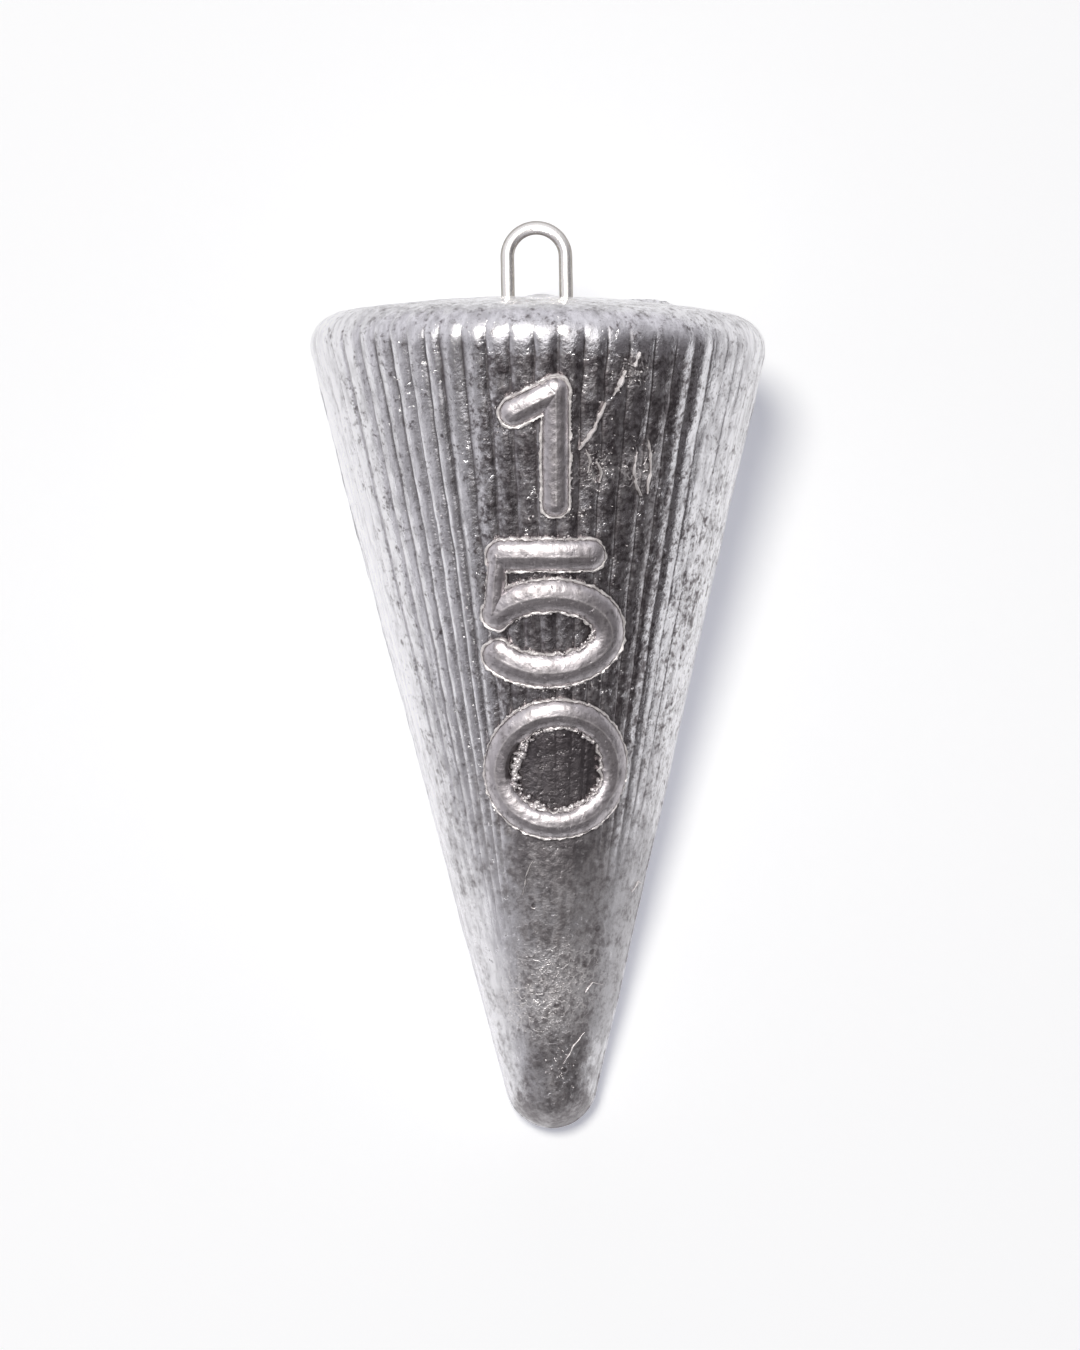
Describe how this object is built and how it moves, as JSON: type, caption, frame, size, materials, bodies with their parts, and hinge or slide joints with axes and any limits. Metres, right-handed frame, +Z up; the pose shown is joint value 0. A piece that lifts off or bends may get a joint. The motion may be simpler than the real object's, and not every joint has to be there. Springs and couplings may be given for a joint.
{
  "type": "fishing sinker",
  "caption": "Cast lead fishing sinker: a reeded cone with a rounded tip, raised weight numerals down one side and a cast-in wire eye for the line.",
  "frame": {"origin": "on the surface that the sinker lies on, under the middle of its bounding box", "axes": "+Z up, numerals facing up; +Y along the sinker as it lies, from the tip to the wire eye; +X to the right when the numerals are read"},
  "size_m": [0.0284, 0.0548, 0.0271],
  "materials": {
    "lead": "dull cast lead with a grey oxide skin, bright where it is rubbed",
    "wire": "drawn stainless wire, bright"
  },
  "bodies": {
    "root": {"lead_body": "lead", "wire_eye": "wire"}
  },
  "joints": []
}
